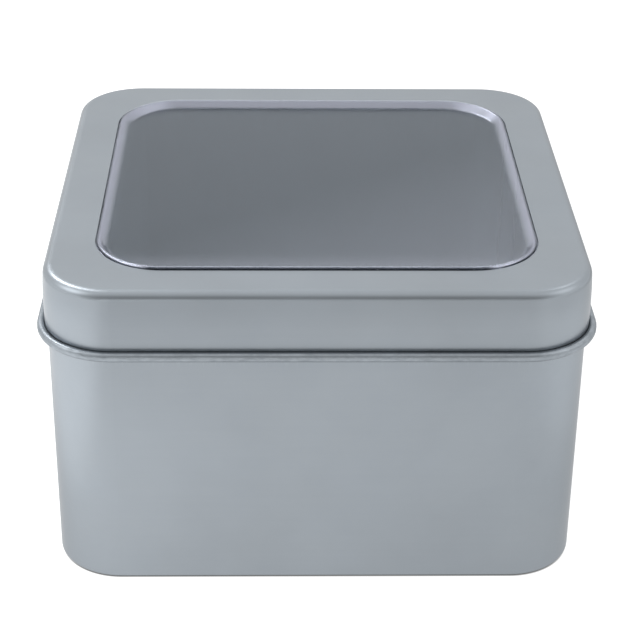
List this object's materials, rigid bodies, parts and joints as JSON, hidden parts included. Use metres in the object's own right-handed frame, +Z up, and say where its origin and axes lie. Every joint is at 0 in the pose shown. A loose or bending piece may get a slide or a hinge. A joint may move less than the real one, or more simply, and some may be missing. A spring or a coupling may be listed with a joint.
{
  "type": "window lid tin",
  "caption": "Square tinplate box with a slip-on lid that has a clear window, for keeping and showing small things.",
  "frame": {"origin": "middle of the square that the tin stands on, at the height of its resting rim", "axes": "+Z up, the way the lid lifts off; X and Y square to the walls; the wall's lock seam is in the corner at +X +Y"},
  "size_m": [0.1016, 0.1016, 0.0609],
  "materials": {
    "tinplate": "satin silver tinplate",
    "clear_sheet": "clear glossy thermoformed sheet"
  },
  "bodies": {
    "tin": {"body_wall": "tinplate", "bottom_panel": "tinplate"},
    "lid": {"lid_shell": "tinplate", "window": "clear_sheet"}
  },
  "joints": [
    {"name": "lid_lift", "type": "slide", "parent": "tin", "child": "lid", "axis": [0, 0, 1], "range_m": [0, 0.04]}
  ]
}
